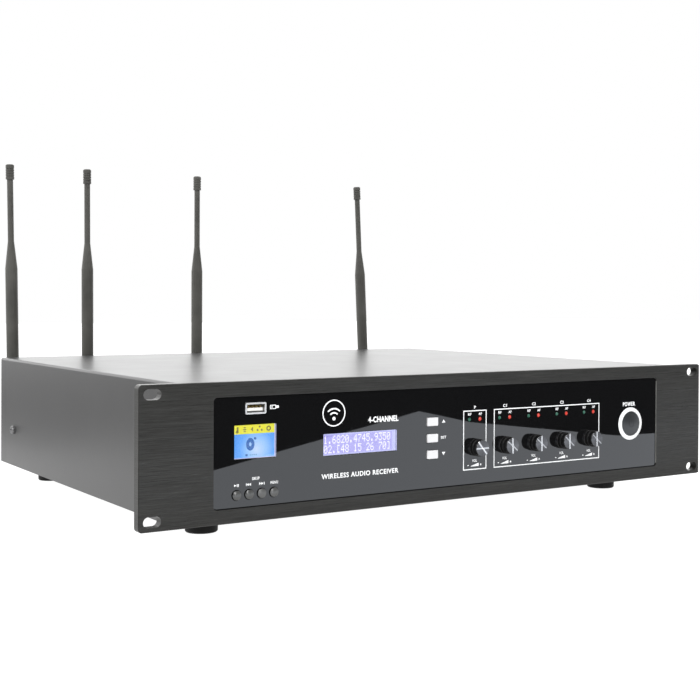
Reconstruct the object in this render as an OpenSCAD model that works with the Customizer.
// Two-unit rack wireless receiver: front panel with film, displays, keys and knobs,
// sheet-metal case, boards and modules, and four swivelling, tilting whip antennas.
// Millimetres. X runs to the right of the front, Y to the back, Z up.
// The origin is under the middle of the whole object, on the plane the feet stand on.

/* [Front panel] */
// Width over both rack ears
panel_w = 482.6; // [480:0.1:484]
// Height of a two-unit panel
panel_h = 88.1; // [87:0.1:90]
// Thickness of the panel
panel_t = 6.5; // [6:0.1:8]
// Radius of the panel's corners
panel_r = 2.5; // [1:0.1:4]
// Width of the bevel round the panel's front edge
panel_bevel = 0.5; // [0.2:0.1:1]
// Distance between the rack slots across the panel
slot_span_x = 465.1; // [464:0.1:466]
// Distance between the rack slots up the panel
slot_span_z = 76.2; // [76:0.1:76.4]
// Length of a rack slot
slot_len = 11.5; // [9:0.1:12]
// Width of a rack slot
slot_w = 6.6; // [6.2:0.1:7]
// Width of the pocket that holds the film
pocket_w = 384.6; // [380:0.1:388]
// Height of the pocket
pocket_h = 69.5; // [68:0.1:72]
// Depth of the pocket
pocket_d = 1.3; // [1.2:0.1:1.6]
// Thickness of the film
film_t = 0.5; // [0.3:0.1:0.6]

/* [Front layout] */
// Sideways place of the player section
player_x = -163; // [-166:0.5:-160]
// Sideways place of the character display
lcd_x = -84.3; // [-86:0.1:-82]
// Sideways place of the rectangular keys
keys_x = -25.8; // [-28:0.1:-22]
// Sideways place of the master knob
master_x = 12.4; // [11:0.1:14]
// Distance from one channel to the next
channel_pitch = 27.3; // [26:0.1:28]
// Sideways place of the power switch
power_x = 164.3; // [162:0.1:168]
// Width of the character display's window
lcd_w = 58; // [54:0.5:60]
// Height of the character display's window
lcd_h = 14.6; // [13:0.1:16]
// Width of the colour screen's window
screen_w = 29.7; // [28:0.1:31]
// Height of the colour screen's window
screen_h = 21.5; // [20:0.1:23]

/* [Knobs and keys] */
// Radius of a knob's wide skirt
knob_r = 6.2; // [6:0.1:6.6]
// Radius of a knob's narrower front
knob_front_r = 5.8; // [5.6:0.1:5.9]
// Height of a knob without its end cap
knob_h = 6.2; // [5.5:0.1:8]
// Number of flutes round a knob
knob_flutes = 20; // [12:1:24]
// Radius of a round player key
round_key_r = 3; // [2.8:0.1:3.2]
// Width of a rectangular key
key_w = 9; // [8.5:0.1:10]
// Height of a rectangular key
key_h = 5.7; // [5.3:0.1:6.3]
// Outer radius of the ring round the power key
power_ring_r = 12.5; // [12:0.1:14]
// Radius of the power key
power_key_r = 9.2; // [8.5:0.1:9.4]
// Radius of an indicator lamp
led_r = 1.5; // [1.4:0.05:1.5]

/* [Case] */
// Width over the cover
case_w = 428; // [424:1:432]
// Distance from the panel's front face to the back of the case
case_depth = 367; // [360:1:380]
// Thickness of the sheet metal
sheet_t = 1.2; // [1:0.1:1.5]
// Height of a foot
foot_h = 11.9; // [8:0.1:15]
// Radius of a foot
foot_r = 11; // [9:0.1:12]

/* [Antennas] */
// Height of the antenna sockets above the panel's lower edge
socket_z = 52; // [45:1:60]
// Distance from the back of the case to an antenna's pivot
pivot_back = 21; // [21:0.5:24]
// Length of a whip from its pivot to its tip
whip_len = 203.7; // [180:0.1:210]
// Radius of a whip's lower sleeve
sleeve_r = 5.2; // [5:0.1:5.4]
// Radius of a whip's thin upper rod
rod_r = 2.6; // [2:0.1:3]
// Radius of a whip's tip
tip_r = 3.6; // [3:0.1:4]

/* [Hidden] */
$fn = 48;

cut = 1;                                 // how far a cutter passes a face
panel_mid = panel_h / 2;
film_y = pocket_d - film_t;              // front face of the film
back_y = panel_t + 0.2;                  // front of the tray behind the panel

// Front layout: heights above the panel's lower edge
pocket_z = 43.8;
pocket_r = 2.6;
screen_z = 50;
lcd_z = 44.4;
usb_z = 70.8;
round_key_z = 17.2;
round_key_pitch = 8.8;
key_z = [55.2, 43.9, 32.6];
led_z = 55;
led_offset = 4.7;
led_shift = -0.8;                        // from a knob's axis to the middle of its two lamps
knob_z = 35.2;
power_z = 43.9;
channels = [for (i = [0:4]) master_x + i * channel_pitch];
round_keys = [for (i = [0:3]) player_x + (i - 1.5) * round_key_pitch];

// Clearances round what moves or passes through the panel
key_gap = 0.4;
pass_gap = 0.2;
run_gap = 0.05;

// Knob fittings
knob_lift = 1.2;                         // gap between the film and the knob
knob_back = film_y - knob_lift;
knob_front = knob_back - knob_h;
shaft_r = 3;
bush_r = 3.4;
cap_proud = 0.8;                         // thickness of the cap's disc
cap_seat = 0.7;                          // depth of the seat for its spigot
spigot_r = 4.5;

// Board behind the panel
board_y = 14.5;
board_t = 1.6;
flange_y = panel_t + 0.7;                // retaining flange of a key
stem_end = 11;
key_proud = 0.8;

// USB socket
usb_in = [12.5, 5.12];
usb_body = [13.9, 6.5];
usb_lip = [14.8, 7.3];

// Case
case_low = -0.4;
case_high = 87.9;
cover_back = case_depth + 0.2;
wall_x = case_w / 2 - sheet_t - 0.2;     // outer face of the tray's flanges
rear_y = case_depth - sheet_t;
foot_recess = 6;                         // depth of the screw's recess in a foot
foot_spots = [[-178, 47], [178, 47], [-186, 319], [186, 319]];
side_screw = [332, 29.5];
rear_screw_x = [-150, 0, 150];
rear_screw_z = 79;
bracket_rivet_x = 204;
bracket_rivet_z = [18, 31];
front_screws = [[-204, 20], [204, 20], [-204, 68], [204, 68], [-90, 83], [90, 83], [-90, 4], [90, 4]];
tray_window = [392, 72];

// Rear connectors
jack_x = [-165, -105, -60, 25, 70];
jack_z = 22;
jack_bore_r = 3.3;
inlet_x = 120;
inlet_z = 27;
inlet_cavity = [24.5, 16.5];
inlet_depth = 15;
inlet_flange = 2.4;
inlet_screw_x = 20;

// Antennas
antenna_x = [-197.2, -129.5, -21.4, 169.7];
antenna_lean = [-1, -0.3, 0, -2.8];      // sideways lean at rest, in degrees
pivot_y = case_depth + pivot_back;
socket_r = 5.4;
shank_r = 4.4;
cheek_in = 3.3;
tongue_half = 3;
pin_r = 1.5;
tongue_r = 4.9;
sleeve_start = 8.2;
taper_start = 113;
taper_end = 137;
tip_len = 13;

// The whole object stands on its feet, with its box centred fore and aft
front_most = knob_front - cap_proud;
back_most = pivot_y + sleeve_r;
shift = [0, -(front_most + back_most) / 2, foot_h - case_low];

// ---------- helpers ----------

// Rectangle with round corners, centred
module round_rect(w, h, r) {
    square([w - 2 * r, h], center = true);
    square([w, h - 2 * r], center = true);
    for (x = [-1, 1], y = [-1, 1]) translate([x * (w / 2 - r), y * (h / 2 - r)]) circle(r);
}

// Oblong slot, centred, with its length across
module slot_shape(len, w) {
    square([len - w, w], center = true);
    for (x = [-1, 1]) translate([x * (len - w) / 2, 0]) circle(w / 2);
}

// A shape drawn in the front plane, given thickness from y0 back to y1
module along_y(y0, y1) {
    translate([0, y1, 0]) rotate([90, 0, 0]) linear_extrude(y1 - y0) children();
}

// A rod along Y
module rod_y(r, y0, y1) {
    translate([0, y1, 0]) rotate([90, 0, 0]) cylinder(r = r, h = y1 - y0);
}

// A box given by two opposite corners
module block(a, b) {
    translate(a) cube(b - a);
}

// A round body on the Y axis from [radius, y] pairs
module turned_y(profile) {
    rotate([-90, 0, 0]) rotate_extrude() polygon(profile);
}

// Rod along Y with a shallow dome at its front: edge is the rim's y, rise the dome's height
module domed_rod(r, edge, rise, y1) {
    ball_r = (r * r + rise * rise) / (2 * rise);
    rod_y(r, edge, y1);
    intersection() {
        rod_y(r, edge - rise - cut, edge + rise / 4);
        translate([0, edge - rise + ball_r, 0]) sphere(ball_r, $fn = 96);
    }
}

// Every hole through the film, drawn in the front plane
module front_holes() {
    translate([player_x, usb_z]) round_rect(usb_lip[0] + 0.6, usb_lip[1] + 0.6, 1.3);
    translate([player_x, screen_z]) round_rect(screen_w, screen_h, 0.6);
    translate([lcd_x, lcd_z]) round_rect(lcd_w, lcd_h, 0.6);
    for (x = round_keys) translate([x, round_key_z]) circle(round_key_r + key_gap);
    for (z = key_z) translate([keys_x, z]) round_rect(key_w + 2 * key_gap, key_h + 2 * key_gap, 0.8);
    for (x = channels) {
        for (s = [-1, 1]) translate([x + led_shift + s * led_offset, led_z]) circle(led_r + 0.1);
        translate([x, knob_z]) circle(bush_r + pass_gap);
    }
    translate([power_x, power_z]) circle(power_ring_r + 0.1);
}

// ---------- front ----------

module front_panel() {
    color("#262524") difference() {
        intersection() {
            translate([0, 0, panel_mid]) along_y(0, panel_t) round_rect(panel_w, panel_h, panel_r);
            // bevels along the top and bottom edges
            rotate([90, 0, 90]) linear_extrude(panel_w + cut, center = true)
                polygon([[0, panel_bevel], [panel_bevel, 0], [panel_t + cut, 0], [panel_t + cut, panel_h],
                         [panel_bevel, panel_h], [0, panel_h - panel_bevel]]);
            // bevels up both ends
            translate([0, 0, -cut]) linear_extrude(panel_h + 2 * cut)
                polygon([[-panel_w / 2, panel_t + cut], [-panel_w / 2, panel_bevel],
                         [-panel_w / 2 + panel_bevel, 0], [panel_w / 2 - panel_bevel, 0],
                         [panel_w / 2, panel_bevel], [panel_w / 2, panel_t + cut]]);
        }
        translate([0, 0, pocket_z]) along_y(-cut, pocket_d) round_rect(pocket_w, pocket_h, pocket_r);
        for (x = [-1, 1], z = [-1, 1])
            translate([x * slot_span_x / 2, 0, panel_mid + z * slot_span_z / 2])
                along_y(-cut, panel_t + cut) slot_shape(slot_len, slot_w);
        along_y(0, panel_t + cut) front_holes();
        for (p = front_screws) translate([p[0], 0, p[1]]) rod_y(1.6, 2.6, panel_t + cut);
    }
}

module front_overlay() {
    color("#141516") along_y(film_y, pocket_d) difference() {
        translate([0, pocket_z]) round_rect(pocket_w - 0.3, pocket_h - 0.3, pocket_r - 0.1);
        front_holes();
    }
}

module display_windows() {
    color("#8890a0") {
        translate([player_x, 0, screen_z]) along_y(film_y + 0.05, film_y + 1.5)
            round_rect(screen_w - 0.2, screen_h - 0.2, 0.5);
        translate([lcd_x, 0, lcd_z]) along_y(film_y + 0.05, film_y + 1.5)
            round_rect(lcd_w - 0.2, lcd_h - 0.2, 0.5);
    }
}

// A display: picture block in the panel's window, wider body behind, board at the back
module display(w, h, body_w, body_h, body_y, card_t) {
    union() {
        along_y(film_y + 1.8, back_y) square([w - 0.6, h - 0.6], center = true);
        along_y(back_y, body_y) square([body_w, body_h], center = true);
        along_y(body_y, body_y + card_t) square([body_w + 8, body_h + 8], center = true);
    }
}

module screen_module() {
    color("#4a9be8") translate([player_x, 0, screen_z]) display(screen_w, screen_h, 33, 24, 9.5, 1);
}

module lcd_module() {
    color("#9a90ea") translate([lcd_x, 0, lcd_z]) display(lcd_w, lcd_h, 71, 26, 11, 1.6);
}

module usb_shell() {
    color("#c9cbd0") translate([player_x, 0, usb_z]) difference() {
        union() {
            along_y(film_y - 0.5, film_y + 0.6) round_rect(usb_lip[0], usb_lip[1], 1);
            along_y(film_y + 0.5, board_y) round_rect(usb_body[0], usb_body[1], 0.6);
        }
        along_y(-cut, board_y - 0.7) round_rect(usb_in[0], usb_in[1], 0.3);
    }
}

module usb_tongue() {
    color("#e8e6e0") translate([player_x, 0, usb_z - 0.7])
        along_y(film_y + 0.9, board_y - 0.7) square([11.1, 1.84], center = true);
}

// Cap, retaining flange and stem of a round player key
module player_button(i) {
    color("#6a6b68") translate([round_keys[i - 1], 0, round_key_z]) union() {
        domed_rod(round_key_r, film_y - 0.9, 0.5, flange_y + 0.1);
        rod_y(round_key_r + 1, flange_y, flange_y + 1);
        rod_y(1.5, flange_y + 0.9, stem_end);
    }
}

// Cap, retaining flange and stem of a rectangular key, counted from the top
module select_button(i) {
    color("#ececee") translate([keys_x, 0, key_z[i]]) union() {
        along_y(film_y - key_proud, flange_y + 0.1) round_rect(key_w, key_h, 0.6);
        along_y(flange_y, flange_y + 1) round_rect(key_w + 2, key_h + 2, 0.8);
        rod_y(1.5, flange_y + 0.9, stem_end);
    }
}

module button_switches() {
    color("#3a3a3c") {
        for (x = round_keys) translate([x, 0, round_key_z]) block([-3, stem_end + 1.4, -3], [3, board_y, 3]);
        for (z = key_z) translate([keys_x, 0, z]) block([-3, stem_end + 1.4, -3], [3, board_y, 3]);
    }
}

// Ring that rises from the film towards the key, with a flange behind the panel
module power_ring() {
    color("#f0f0f2") translate([power_x, 0, power_z]) turned_y([
        [power_key_r + key_gap, film_y - 0.9], [power_key_r + key_gap + 0.4, film_y - 1.2],
        [power_key_r + key_gap + 0.9, film_y - 1.1], [power_ring_r, film_y - 0.1], [power_ring_r, back_y],
        [power_ring_r + 2.4, back_y], [power_ring_r + 2.4, back_y + 1.3],
        [power_key_r + key_gap, back_y + 1.3]]);
}

// Domed cap with a hollow back round its stem, and a retaining flange
module power_button() {
    cap_end = back_y + 2.6;
    color("#3c3d40") translate([power_x, 0, power_z]) difference() {
        union() {
            domed_rod(power_key_r, film_y - 0.7, 0.9, cap_end);
            rod_y(power_key_r + 1.2, back_y + 1.6, cap_end);
        }
        turned_y([[2.5, film_y + 2], [power_key_r - 1.5, film_y + 2],
                  [power_key_r - 1.5, cap_end + cut], [2.5, cap_end + cut]]);
    }
}

module power_switch() {
    color("#2a2a2c") translate([power_x, 0, power_z]) block([-6, board_y - 2.7, -6], [6, board_y, 6]);
}

// Lamps at one side of every channel: dome, collar and two leads
module lamps(side) {
    for (x = channels) translate([x + led_shift + side * led_offset, 0, led_z]) {
        union() {
            translate([0, film_y + led_r - 0.5, 0]) sphere(led_r);
            rod_y(led_r, film_y + led_r - 0.5, 9);
            rod_y(led_r + 0.4, 8, 9);
            for (s = [-1, 1]) translate([s * 0.9, 0, 0]) rod_y(0.25, 8.9, board_y);
        }
    }
}

module green_leds() {
    color("#2d6955") lamps(-1);
}

module red_leds() {
    color("#d75546") lamps(1);
}

// Stepped knob with a fluted front, a bore for its shaft and a seat for its end cap
module knob(c) {
    step_y = knob_back - 0.5 * knob_h;
    color("#1c1c1d") translate([channels[c], 0, knob_z]) difference() {
        turned_y([[shaft_r, knob_back], [knob_r - 0.3, knob_back], [knob_r, knob_back - 0.3],
                  [knob_r, step_y + 0.3], [knob_r - 0.3, step_y], [knob_front_r, step_y],
                  [knob_front_r, knob_front + 0.2], [knob_front_r - 0.2, knob_front],
                  [spigot_r + 0.05, knob_front], [spigot_r + 0.05, knob_front + cap_seat],
                  [0, knob_front + cap_seat], [0, knob_front + 1.8], [shaft_r, knob_front + 1.8]]);
        for (k = [0:knob_flutes - 1]) rotate([0, k * 360 / knob_flutes, 0])
            translate([knob_front_r + 0.25, 0, 0]) rod_y(0.45, knob_front - cut, step_y - 0.2);
    }
}

// Turned end cap: a disc with a bevelled rim, and a spigot in the knob's seat
module knob_cap(c) {
    disc_r = knob_front_r - 0.15;
    color("#b9babc") translate([channels[c], 0, knob_z]) turned_y([
        [0, knob_front - cap_proud], [disc_r - 0.15, knob_front - cap_proud],
        [disc_r, knob_front - cap_proud + 0.15], [disc_r, knob_front], [spigot_r, knob_front],
        [spigot_r, knob_front + cap_seat - 0.05], [0, knob_front + cap_seat - 0.05]]);
}

module knob_shaft(c) {
    color("#a8a9ab") translate([channels[c], 0, knob_z]) rod_y(shaft_r, knob_front + 1.9, 9.4);
}

// Potentiometer housings, each with a bush in the panel's hole and a bore for its shaft
module volume_pots() {
    color("#8f8f92") for (x = channels) translate([x, 0, knob_z]) difference() {
        union() {
            block([-5.5, back_y + 1.5, -6.5], [5.5, board_y, 6.5]);
            rod_y(bush_r, 3.5, back_y + 1.6);
        }
        rod_y(shaft_r + run_gap, 3, 9.5);
    }
}

module front_board() {
    color("#1d5a38") block([-190, board_y, 11], [190, board_y + board_t, 77]);
}

// ---------- case ----------

module chassis_tray() {
    color("#1b1b1c") difference() {
        union() {
            block([-wall_x, back_y, case_low], [wall_x, rear_y, case_low + sheet_t]);
            block([-wall_x, back_y, case_low], [wall_x, back_y + sheet_t, case_high - sheet_t - 0.2]);
            for (x = [-wall_x, wall_x - sheet_t])
                block([x, back_y, case_low], [x + sheet_t, rear_y, case_low + 12]);
        }
        translate([0, 0, panel_mid]) along_y(back_y - cut, back_y + sheet_t + cut)
            round_rect(tray_window[0], tray_window[1], 3);
        for (p = front_screws) translate([p[0], 0, p[1]]) rod_y(1.7, back_y - cut, back_y + sheet_t + cut);
        for (p = foot_spots) translate([p[0], p[1], case_low - cut]) cylinder(r = 1.7, h = sheet_t + 2 * cut);
    }
}

// Outline of the wrap-over cover across its width
module cover_outline(w, h, r) {
    translate([-w / 2, 0]) square([w, h - r]);
    translate([-w / 2 + r, 0]) square([w - 2 * r, h]);
    for (x = [-1, 1]) translate([x * (w / 2 - r), h - r]) circle(r);
}

module top_cover() {
    full_h = case_high - case_low;
    color("#1b1b1c") difference() {
        union() {
            translate([0, 0, case_low]) along_y(back_y, cover_back) difference() {
                cover_outline(case_w, full_h, 1.8);
                translate([0, -cut]) cover_outline(case_w - 2 * sheet_t, full_h - sheet_t + cut, 0.6);
            }
            // lip behind the rear panel's top edge
            block([-205, rear_y - sheet_t - 0.1, 73], [205, rear_y - 0.1, case_high - sheet_t / 2]);
        }
        for (x = [-1, 1]) translate([x * case_w / 2, side_screw[0], side_screw[1]])
            rotate([0, 90, 0]) cylinder(r = 1.8, h = 8, center = true);
        for (x = rear_screw_x) translate([x, 0, rear_screw_z]) rod_y(1.6, rear_y - 4, rear_y + cut);
    }
}

module rear_panel() {
    top = case_high - sheet_t - 0.2;
    color("#1b1b1c") difference() {
        block([-wall_x, rear_y, case_low], [wall_x, case_depth, top]);
        for (s = [-1, 1], z = bracket_rivet_z) translate([s * bracket_rivet_x, 0, z])
            rod_y(1.7, rear_y - cut, case_depth + cut);
        for (x = rear_screw_x) translate([x, 0, rear_screw_z]) rod_y(1.8, rear_y - cut, case_depth + cut);
        for (x = antenna_x) translate([x, 0, socket_z])
            rod_y(socket_r + pass_gap, rear_y - cut, case_depth + cut);
        for (x = jack_x) translate([x, 0, jack_z]) rod_y(4.8, rear_y - cut, case_depth + cut);
        translate([inlet_x, 0, inlet_z]) along_y(rear_y - cut, case_depth + cut)
            square([inlet_cavity[0] + 3.2, inlet_cavity[1] + 3.2], center = true);
        for (s = [-1, 1]) translate([inlet_x + s * inlet_screw_x, 0, inlet_z])
            rod_y(1.7, rear_y - cut, case_depth + cut);
    }
}

// Angle brackets inside the rear corners, which take the cover's side screws
module side_brackets() {
    bend = wall_x - sheet_t;
    color("#1b1b1c") for (s = [0, 1]) mirror([s, 0, 0]) difference() {
        union() {
            block([bend, side_screw[0] - 12, 13], [wall_x, rear_y, 36]);
            block([bend - 14, rear_y - sheet_t, 13], [bend + sheet_t / 2, rear_y, 36]);
        }
        translate([wall_x, side_screw[0], side_screw[1]])
            rotate([0, 90, 0]) cylinder(r = 1.6, h = 8, center = true);
        for (z = bracket_rivet_z) translate([bracket_rivet_x, 0, z])
            rod_y(1.6, rear_y - sheet_t - cut, rear_y + cut);
    }
}

module feet() {
    color("#1a1a1a") for (p = foot_spots) translate([p[0], p[1], case_low - foot_h]) difference() {
        rotate_extrude()
            polygon([[0, 0], [foot_r - 1, 0], [foot_r - 0.3, 0.7], [foot_r, foot_h], [0, foot_h]]);
        translate([0, 0, -cut]) cylinder(r = 4.2, h = foot_recess + cut);
        translate([0, 0, -cut]) cylinder(r = 1.8, h = foot_h + 2 * cut);
    }
}

// Pan-head screw pointing along +Z, with its head below the origin
module screw(head_r, head_h, r, len) {
    difference() {
        union() {
            translate([0, 0, -head_h]) cylinder(r1 = head_r - 0.5, r2 = head_r, h = head_h * 0.5);
            translate([0, 0, -head_h / 2]) cylinder(r = head_r, h = head_h / 2);
            cylinder(r = r, h = len);
        }
        for (a = [0, 90]) rotate([0, 0, a])
            translate([0, 0, -head_h]) cube([head_r * 1.1, 0.7, head_h], center = true);
    }
}

module case_screws() {
    color("#2e2e30") {
        for (s = [-1, 1]) translate([s * case_w / 2, side_screw[0], side_screw[1]])
            rotate([0, -90 * s, 0]) screw(3.5, 2.2, 1.5, 4.5);
        for (x = rear_screw_x) translate([x, case_depth, rear_screw_z])
            rotate([90, 0, 0]) screw(2.8, 1.8, 1.5, 5);
        for (s = [-1, 1], z = bracket_rivet_z) translate([s * bracket_rivet_x, case_depth, z])
            rotate([90, 0, 0]) screw(2.8, 1.6, 1.5, 5);
        for (s = [-1, 1]) translate([inlet_x + s * inlet_screw_x, case_depth + inlet_flange, inlet_z])
            rotate([90, 0, 0]) screw(2.4, 1.2, 1.4, 7);
        for (p = front_screws) translate([p[0], back_y + sheet_t, p[1]])
            rotate([90, 0, 0]) screw(2.8, 1.8, 1.5, 5);
        for (p = foot_spots) translate([p[0], p[1], case_low - foot_h + foot_recess])
            screw(3.6, 2, 1.6, foot_h - foot_recess + 4);
    }
}

// ---------- inside ----------

main_z = 9;                              // underside of the main board
main_a = [-195, 150];
main_b = [85, 350];
pillars = [for (x = [main_a[0] + 8, -55, main_b[0] - 8], y = [main_a[1] + 8, main_b[1] - 8]) [x, y]];

module main_board() {
    color("#1d5a38") block([main_a[0], main_a[1], main_z], [main_b[0], main_b[1], main_z + board_t]);
}

// Pillars under the main board, and posts between the panel and the front board
module board_standoffs() {
    color("#b89a55") {
        for (p = pillars) translate([p[0], p[1], case_low + sheet_t])
            cylinder(r = 3, h = main_z - case_low - sheet_t);
        for (x = [-186, 186], z = [16, 72]) translate([x, 0, z]) rod_y(2.4, panel_t, board_y);
    }
}

// Box of sheet metal, open underneath
module can(size, wall) {
    difference() {
        cube(size);
        translate([wall, wall, -cut]) cube([size[0] - 2 * wall, size[1] - 2 * wall, size[2] - wall + cut]);
    }
}

// Screening cans of the radio modules, in a row on the main board behind their sockets
module receiver_modules() {
    color("#b4b6b8") for (i = [0:3])
        translate([-188 + i * 66, 255, main_z + board_t]) can([54, 78, 14], 0.8);
}

// Cased mains supply beside the main board
module power_supply() {
    color("#a9abad") translate([100, 215, case_low + sheet_t]) can([100, 120, 40], 2);
}

// ---------- back ----------

// Mains inlet: flange, body with an open cavity, three blades
module power_inlet() {
    color("#161617") translate([inlet_x, 0, inlet_z]) union() {
        difference() {
            union() {
                along_y(case_depth, case_depth + inlet_flange) round_rect(50, 23, 3);
                along_y(case_depth - inlet_depth - 4, case_depth + 1)
                    square([inlet_cavity[0] + 2.8, inlet_cavity[1] + 2.8], center = true);
            }
            along_y(case_depth + inlet_flange - inlet_depth, case_depth + inlet_flange + cut)
                round_rect(inlet_cavity[0], inlet_cavity[1], 1);
            for (s = [-1, 1]) translate([s * inlet_screw_x, 0, 0])
                rod_y(1.6, case_depth - cut, case_depth + inlet_flange + cut);
        }
        for (p = [[-7, -1.5], [7, -1.5], [0, 4]])
            along_y(case_depth + inlet_flange - inlet_depth - 0.1, case_depth)
                translate(p) square([2, 4], center = true);
    }
}

// Audio jacks: nut outside, threaded neck, housing inside, one bore through
module output_sockets() {
    color("#1e1e20") for (x = jack_x) translate([x, 0, jack_z]) difference() {
        union() {
            rod_y(6.6, case_depth, case_depth + 2.2);
            rod_y(4.6, rear_y - 1, case_depth + 3.4);
            block([-7, rear_y - 23, -7], [7, rear_y, 7]);
        }
        rod_y(jack_bore_r, rear_y - 20, case_depth + 3.4 + cut);
    }
}

// Threaded sockets with a hollow end and a centre contact
module antenna_sockets() {
    color("#c9a24e") for (x = antenna_x) translate([x, 0, socket_z]) union() {
        difference() {
            union() {
                rotate([-90, 0, 0]) translate([0, 0, case_depth]) cylinder(r = 8, h = 2.4, $fn = 6);
                rod_y(socket_r, rear_y - 9, case_depth + 11.4);
                rotate([-90, 0, 0]) translate([0, 0, rear_y - 3]) cylinder(r = 8, h = 3, $fn = 6);
            }
            rod_y(3.8, case_depth + 4, case_depth + 11.4 + cut);
        }
        rod_y(0.6, case_depth + 3.9, case_depth + 10);
    }
}

// Fluted coupling nuts, each with a lip that holds the elbow's shank
module antenna_nuts() {
    color("#2a2a2c") for (x = antenna_x) translate([x, case_depth, socket_z]) difference() {
        rod_y(7.2, 2.9, 13.6);
        rod_y(socket_r + 0.1, 2.9 - cut, 12.4);
        rod_y(shank_r + run_gap, 12, 13.6 + cut);
        for (k = [0:15]) rotate([0, k * 22.5, 0]) translate([7.6, 0, 0]) rod_y(0.7, 3.6, 12.9);
    }
}

// ---------- antennas ----------

// Puts children at an antenna's pivot, leaning as it rests
module at_pivot(i) {
    translate([antenna_x[i - 1], pivot_y, socket_z]) rotate([0, antenna_lean[i - 1], 0]) children();
}

// Plug and shank in the nut, collar, and a fork with the tilt pin across it
module antenna_elbow(i) {
    root = -pivot_back;                  // back of the case, seen from the pivot
    color("#19191a") at_pivot(i) union() {
        difference() {
            union() {
                rod_y(3.4, root + 5, root + 11.7);
                rod_y(5, root + 11.6, root + 12.2);
                rod_y(shank_r, root + 12.1, root + 14.1);
                rod_y(sleeve_r, root + 14, root + 15.4);
            }
            rod_y(1, root + 4, root + 10.6);
        }
        for (s = [-1, 1]) {
            block([s > 0 ? cheek_in : -sleeve_r, root + 15.3, -4.2], [s > 0 ? sleeve_r : -cheek_in, 0, 4.2]);
            translate([s * (cheek_in + sleeve_r) / 2, 0, 0]) rotate([0, 90, 0])
                cylinder(r = 4.2, h = sleeve_r - cheek_in, center = true);
        }
        rotate([0, 90, 0]) cylinder(r = pin_r, h = 2 * sleeve_r - 1, center = true);
    }
}

// Hinge tongue, thick sleeve, taper, thin rod and ribbed tip
module antenna_whip(i) {
    tip_z = whip_len - tip_len;
    color("#161617") at_pivot(i) union() {
        difference() {
            union() {
                rotate([0, 90, 0]) cylinder(r = tongue_r, h = 2 * tongue_half, center = true);
                block([-tongue_half, -tongue_r, 0], [tongue_half, tongue_r, sleeve_start + 0.5]);
            }
            rotate([0, 90, 0]) cylinder(r = pin_r + run_gap, h = 2 * tongue_half + cut, center = true);
        }
        rotate_extrude() polygon(concat(
            [[0, sleeve_start], [sleeve_r - 0.4, sleeve_start], [sleeve_r, sleeve_start + 0.4],
             [sleeve_r, taper_start], [rod_r, taper_end], [rod_r, tip_z], [tip_r, tip_z]],
            [for (k = [1:4]) each [[tip_r, tip_z + 2.2 * k], [tip_r - 0.4, tip_z + 2.2 * k + 0.2],
                                   [tip_r - 0.4, tip_z + 2.2 * k + 0.6], [tip_r, tip_z + 2.2 * k + 0.8]]],
            [[tip_r, whip_len - 0.8], [tip_r - 0.8, whip_len], [0, whip_len]]));
    }
}

// ---------- what is drawn ----------

translate(shift) front_panel();
translate(shift) front_overlay();
translate(shift) display_windows();
translate(shift) screen_module();
translate(shift) lcd_module();
translate(shift) usb_shell();
translate(shift) usb_tongue();
for (i = [1:4])
    translate(shift) player_button(i);
translate(shift) select_button(0);  // up_button
translate(shift) select_button(1);  // set_button
translate(shift) select_button(2);  // down_button
translate(shift) button_switches();
translate(shift) power_ring();
translate(shift) power_button();
translate(shift) power_switch();
translate(shift) green_leds();
translate(shift) red_leds();
for (c = [0:4]) {
    tag = c == 0 ? "master" : str(c);
    translate(shift) knob(c);
    translate(shift) knob_cap(c);
    translate(shift) knob_shaft(c);
}
translate(shift) volume_pots();
translate(shift) front_board();
translate(shift) chassis_tray();
translate(shift) top_cover();
translate(shift) rear_panel();
translate(shift) side_brackets();
translate(shift) feet();
translate(shift) case_screws();
translate(shift) main_board();
translate(shift) board_standoffs();
translate(shift) receiver_modules();
translate(shift) power_supply();
translate(shift) power_inlet();
translate(shift) output_sockets();
translate(shift) antenna_sockets();
translate(shift) antenna_nuts();
for (i = [1:4]) {
    translate(shift) antenna_elbow(i);
    translate(shift) antenna_whip(i);
}
